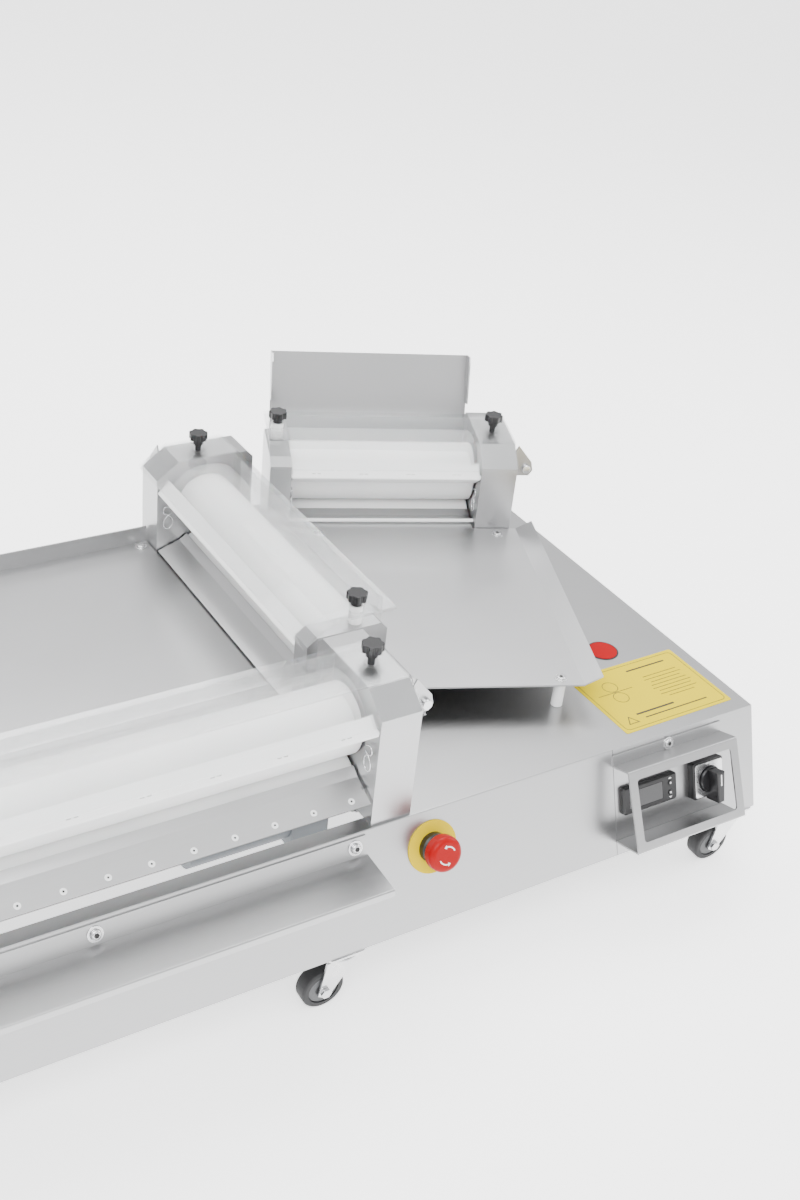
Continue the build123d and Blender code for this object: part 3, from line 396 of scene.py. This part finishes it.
# plain round badge with a dark rim
badge = Matrix.Translation(deck(-99.5, 167.0, 0.0)) @ Matrix.Rotation(math.radians(35), 4, "Z")
piece("badge_rim", lambda d: prism(d, round_outline(20, 64), 0.02, 0.5), black, MACHINE,
      badge)
piece("badge_face", lambda d: lathe(d, [(0, 0.4), (18.2, 0.4), (18.0, 0.9), (15, 1.1), (0, 1.2)], 64),
      plastic("badge_red", (0.3, 0.0, 0.003), 0.6, 0.04, 500.0, 0.02, 0.08), MACHINE, badge)


# ---- controls ----------------------------------------------------------------------------------
def square_with_hole(data, size, corner, hole, low, high):
    outer = rounded(size, size, corner, steps=8)
    inner = [(hole * math.cos(math.atan2(y, x)), hole * math.sin(math.atan2(y, x))) for x, y in outer]
    frame_lines(data, outer, inner, low, high)


face_metal = zinc("switch_face_metal", 0.8)
piece("switch_face", lambda d: square_with_hole(d, 42, 3, 15.6, 0.0, 0.9), face_metal, MACHINE,
      front_matrix(*SWITCH, 11.02), bevel=0.25)
piece("switch_ring", lambda d: ring(d, 15.4, 16.6, 0.0, 1.6, 56), black, MACHINE,
      front_matrix(*SWITCH, 11.1), bevel=0.2)


def switch_ticks(data):
    for angle in (180, 270):
        turn = math.radians(angle - 90)
        x, y = 18.4 * math.cos(turn), 18.4 * math.sin(turn)
        prism(data, rounded(1.6, 1.6, 0.5, (x, y), 2), 0.0, 0.15)


piece("switch_ticks", switch_ticks, print_black, MACHINE, front_matrix(*SWITCH, 11.92),
      smooth=False)
window_black = plastic("display_window", (0.012, 0.012, 0.014), 0.08, 0.1, 60.0, 0.0, 0.6)
piece("display_window", lambda d: prism(d, rounded(49.4, 21.4, 1.3, (-7, 0)), 0.0, 0.7),
      window_black, MACHINE, front_matrix(*DISPLAY, 6.25), bevel=0.2)


def key_marks(data):
    for sign in (1, -1):
        y = sign * 12.0
        arrow = [(26.4, y - sign * 1.0), (31.6, y - sign * 1.0), (29, y + sign * 1.2)]
        prism(data, arrow[::sign], 0.0, 0.12)


mark_white = plastic("mark_white", (0.8, 0.8, 0.8), 0.4, 0.03)
piece("key_marks", key_marks, mark_white, MACHINE, front_matrix(*DISPLAY, 7.01),
      smooth=False)
for name, up in (("key_up", 1), ("key_down", -1)):
    piece(f"{name}_dot", lambda d: lathe(d, [(0, 0), (1.3, 0), (1.2, 0.16), (0, 0.2)], 20), mark_white, name,
          front_matrix(*KEYS, 8.0) @ Matrix.Translation((0, 0.006 * up, 0)))
piece("handle_pointer", lambda d: prism(d, rounded(1.6, 14, 0.7, (0, 4)), 0.0, 0.25), mark_white,
      "switch_handle", front_matrix(*SWITCH, 33.25), smooth=False)


def arrows(data):
    """Two curved arrows that show which way the cap is twisted."""
    for first in (20, 200):
        steps = 12
        outer = [(10.6 * math.cos(math.radians(first + 70 * i / steps)),
                  10.6 * math.sin(math.radians(first + 70 * i / steps))) for i in range(steps + 1)]
        inner = [(9.2 * math.cos(math.radians(first + 70 * i / steps)),
                  9.2 * math.sin(math.radians(first + 70 * i / steps))) for i in range(steps, -1, -1)]
        prism(data, outer + inner, 0.0, 0.15)
        end = math.radians(first + 70)
        tip = math.radians(first + 88)
        prism(data, [(12.2 * math.cos(end), 12.2 * math.sin(end)),
                     (9.9 * math.cos(tip), 9.9 * math.sin(tip)),
                     (7.6 * math.cos(end), 7.6 * math.sin(end))], 0.0, 0.15)


piece("stop_arrows", arrows, mark_white, "stop_cap", front_matrix(*STOP, 30.95),
      smooth=False)


# ---- hardware ----------------------------------------------------------------------------------
def hex_nut(data, across, height):
    radius = across / math.sqrt(3)
    prism(data, [(radius * math.cos(math.radians(60 * i)), radius * math.sin(math.radians(60 * i)))
                 for i in range(6)], 0, height)


# dark material for screw sockets and rivet holes: painted shade in these recesses
painted_socket_shade = plastic("socket_shadow", (0.02, 0.02, 0.02), 0.6, 0.2)


def washer(name, matrix, inner, outer, height=1.2, material=bright):
    piece(name, lambda d: ring(d, inner, outer, 0.0, height, 40), material, MACHINE, matrix,
          bevel=0.2)


# washers on the transfer plate's screws, with their hex sockets as dark hexes of painted shade
for index, (x, y) in enumerate([(-155, 83), (-159, 417), (23, 415), (88, 83)]):
    spot = station_matrix("1", x, y, 38.02)
    washer(f"plate_washer_{index + 1}", spot, 5.2, 8.0, 0.9)
    piece(f"plate_socket_{index + 1}", lambda d: hex_nut(d, 4.0, 0.3), painted_socket_shade, MACHINE,
          station_matrix("1", x, y, 40.55), smooth=False)
# hex sockets of the shelf screws as dark hexes of painted shade, with their washers
for index, x in enumerate((-555.0, -838.0, -1121.0)):
    piece(f"shelf_socket_{index + 1}", lambda d: hex_nut(d, 5.0, 0.3), painted_socket_shade, MACHINE,
          front_matrix(x, -14, 7.0), smooth=False)
    washer(f"shelf_washer_{index + 1}", front_matrix(x, -14, 2.1), 5.7, 8.4)
# the cage screw's hex socket as a dark hex of painted shade, with its washer
piece("cage_socket", lambda d: hex_nut(d, 4.0, 0.3), painted_socket_shade, MACHINE,
      front_matrix(-133.5, -12, 4.95), smooth=False)
washer("cage_washer", front_matrix(-133.5, -12, 2.05), 5.1, 7.4, 0.9)
for index, x in enumerate((-531.0, -840.0, -1150.0)):
    washer(f"table_washer_{index + 1}", Matrix.Translation(deck(x, 612, 2.02)), 5.1, 8.0, 0.9)

# bolts through the brackets that stand out from the drive towers
for name, st in STATIONS.items():
    side = st["drive"]
    x = side * (st["clear"] / 2 + 48 + 17)
    z = st["height"] - 31
    along_y = Matrix.Rotation(math.radians(-90), 4, "X")
    piece(f"bracket_bolt_{name}",
          lambda d: lathe(d, [(0, -5), (3, -5), (3, -2), (6, -2), (6.2, 1.4), (5.4, 3.2), (0, 3.8)], 28),
          bright, MACHINE, station_matrix(name, x, 48.0, z) @ along_y)


def wire(name, points, thickness, material, body, matrix):
    """Bent wire along points in millimetres."""
    curve = bpy.data.curves.new(name, "CURVE")
    curve.dimensions = "3D"
    spline = curve.splines.new("BEZIER")
    spline.bezier_points.add(len(points) - 1)
    for point, spot in zip(spline.bezier_points, points):
        point.co = matrix @ (Vector(spot) / 1000.0)
        point.handle_left_type = "AUTO"
        point.handle_right_type = "AUTO"
    curve.bevel_depth = thickness / 2000.0
    curve.bevel_resolution = 4
    curve.use_fill_caps = True
    obj = bpy.data.objects.new(name, curve)
    bpy.context.scene.collection.objects.link(obj)
    curve.materials.append(material)
    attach(obj, body)
    return obj


# bent spring clips beside the inner wall of each tower
CLIP = [(0, -4, 19), (0, 3, 21), (0, 5, 15), (0, -1, 11), (0, -5, 5),
        (0, -3, -3), (0, 2, -4), (0, 5, 3), (0, 1, 10), (0, -4, 13)]
for name, st in STATIONS.items():
    for label, side in (("drive", st["drive"]), ("idle", -st["drive"])):
        inner = side * (st["clear"] / 2 - 3.2)
        spot = station_matrix(name, inner, 53.0, st["height"] - 86.0) @ Matrix.Scale(1.25, 4)
        wire(f"clip_{label}_{name}", CLIP, 1.5, bright, MACHINE, spot)

# white rod across station 1 behind its guard
rod = station_matrix("1", -127, 52.5, 41.5) @ Matrix.Rotation(math.radians(90), 4, "Y")
ROD = [(0, 0), (2.2, 0), (2.5, 0.4), (2.5, 253.6), (2.2, 254), (0, 254)]
piece("rod_1", lambda d: lathe(d, ROD, 24), white, MACHINE, rod)

# raised rims of the guard's rivets, and dark discs of painted shade in their centre holes
RIVETS = 13
RIVET_PITCH = 44.0
GUARD_LOW = STATIONS["3"]["height"] - 60.0 - 79.0
tilt = math.atan(14 / 30)
RIVET_CENTRE = [(0, 0.75), (1.15, 0.75), (1.0, 0.92), (0, 0.95)]
for index in range(RIVETS):
    from_middle = index - (RIVETS - 1) // 2
    spot = (station_matrix("3", from_middle * RIVET_PITCH, 58.0, GUARD_LOW + 12 + 8 * math.tan(tilt))
            @ Matrix.Rotation(-tilt, 4, "X"))
    piece(f"rivet_rim_{index + 1}", lambda d: ring(d, 1.3, 3.6, 0.0, 1.0, 28), white, MACHINE,
          spot, bevel=0.3)
    piece(f"rivet_centre_{index + 1}", lambda d: lathe(d, RIVET_CENTRE, 18), painted_socket_shade, MACHINE,
          spot)

# wheel hubs, axle nuts and race rings of the casters
COLUMNS = (-26.0, -575.0, -1154.0)
ROWS = (20.0 - FRONT_HEIGHT * math.tan(LEAN), 620.0)
TRAIL = 19.0                # axle behind the kingpin
AXLE_Z = -177.0
HUB_OUT, NUT_OUT = 7.55, 13.1
RACE_Z = -131.4
HUB = [(4.3, 0), (17.6, 0), (17.2, 0.8), (12, 1.2), (9.2, 1.0), (8.6, 1.7), (4.4, 1.7)]
RACE = [(14, 0), (21.2, 0), (22.4, 1.2), (22.4, 3.2), (20, 4.6), (14, 4.6)]
for number, (x, y) in enumerate([(x, y) for y in ROWS for x in COLUMNS], start=1):
    for side, label in ((-1, "near"), (1, "far")):
        turn = Matrix.Rotation(math.radians(-90 * side), 4, "X")
        hub = Matrix.Translation(deck(x - TRAIL, y + side * HUB_OUT, AXLE_Z)) @ turn
        piece(f"wheel_hub_{number}_{label}", lambda d: lathe(d, HUB, 40), hub_grey,
              f"caster_wheel_{number}", hub)
        nut = Matrix.Translation(deck(x - TRAIL, y + side * NUT_OUT, AXLE_Z)) @ turn
        piece(f"axle_nut_{number}_{label}", lambda d: hex_nut(d, 11, 4.0), bright,
              f"caster_swivel_{number}", nut, bevel=0.5)
    piece(f"race_ring_{number}", lambda d: lathe(d, RACE, 48), dark_zinc, MACHINE,
          Matrix.Translation(deck(x, y, RACE_Z)))


# ---- floor, light and camera ---------------------------------------------------------------------
def soft_light(name, spot, target, size, power):
    light = bpy.data.lights.new(name, "AREA")
    light.shape = "RECTANGLE"
    light.size, light.size_y = size
    light.energy = power
    obj = bpy.data.objects.new(name, light)
    obj.location = spot
    obj.rotation_euler = (Vector(target) - Vector(spot)).to_track_quat("-Z", "Y").to_euler()
    bpy.context.scene.collection.objects.link(obj)


floor_mesh = bpy.data.meshes.new("floor")
floor_mesh.from_pydata([(-14, -14, 0), (14, -14, 0), (14, 14, 0), (-14, 14, 0)], [], [(0, 1, 2, 3)])
floor = bpy.data.objects.new("floor", floor_mesh)
bpy.context.scene.collection.objects.link(floor)
paper = plastic("floor_paper", (0.93, 0.93, 0.93), 0.85, 0.005, 40.0, 0.0)
paper_shader = paper.node_tree.nodes["Principled BSDF"]
paper_shader.inputs["Emission Color"].default_value = (1, 1, 1, 1)
paper_shader.inputs["Emission Strength"].default_value = 1.45
floor_mesh.materials.append(paper)

soft_light("key_light", (-1.0, -1.6, 2.6), (0, 0, 0.2), (2.4, 1.6), 95)
soft_light("top_light", (0.6, 1.2, 2.8), (0, 0.1, 0.2), (2.6, 1.4), 110)
soft_light("side_light", (2.6, -0.6, 1.5), (0.2, 0, 0.2), (1.2, 1.4), 34)

world = bpy.data.worlds.new("studio")
bpy.context.scene.world = world
world.use_nodes = True
tree = world.node_tree
backdrop = tree.nodes["Background"]
direction = tree.nodes.new("ShaderNodeTexCoord")
split = tree.nodes.new("ShaderNodeSeparateXYZ")
shade = tree.nodes.new("ShaderNodeValToRGB")
shade.color_ramp.elements[0].position = 0.0
shade.color_ramp.elements[0].color = (0.9, 0.9, 0.9, 1)
shade.color_ramp.elements[1].position = 1.0
shade.color_ramp.elements[1].color = (1.0, 1.0, 1.0, 1)
for place, value in ((0.3, 0.75), (0.5, 0.88), (0.62, 0.66), (0.85, 1.0)):
    stop = shade.color_ramp.elements.new(place)
    stop.color = (value, value, value * 1.01, 1)
tree.links.new(direction.outputs["Generated"], split.inputs["Vector"])
tree.links.new(split.outputs["Z"], shade.inputs["Fac"])
tree.links.new(shade.outputs["Color"], backdrop.inputs["Color"])
backdrop.inputs["Strength"].default_value = 1.75

EYE = deck(-1210.63, -990.71, 1037.72)
yaw, pitch, roll = (math.radians(v) for v in (34.52, 32.18, 6.44))
ahead = Vector((math.sin(yaw) * math.cos(pitch), math.cos(yaw) * math.cos(pitch), -math.sin(pitch)))
level = Vector((math.cos(yaw), -math.sin(yaw), 0.0))
above = level.cross(ahead)
right = math.cos(roll) * level + math.sin(roll) * above
up = -math.sin(roll) * level + math.cos(roll) * above
camera_data = bpy.data.cameras.new("camera")
camera_data.lens = 45.3
camera_data.sensor_width = 36.0
camera_data.sensor_fit = "AUTO"
camera_data.clip_end = 60
camera = bpy.data.objects.new("camera", camera_data)
camera.matrix_world = Matrix.Translation(EYE) @ Matrix((right, up, -ahead)).transposed().to_4x4()
bpy.context.scene.collection.objects.link(camera)
bpy.context.scene.camera = camera
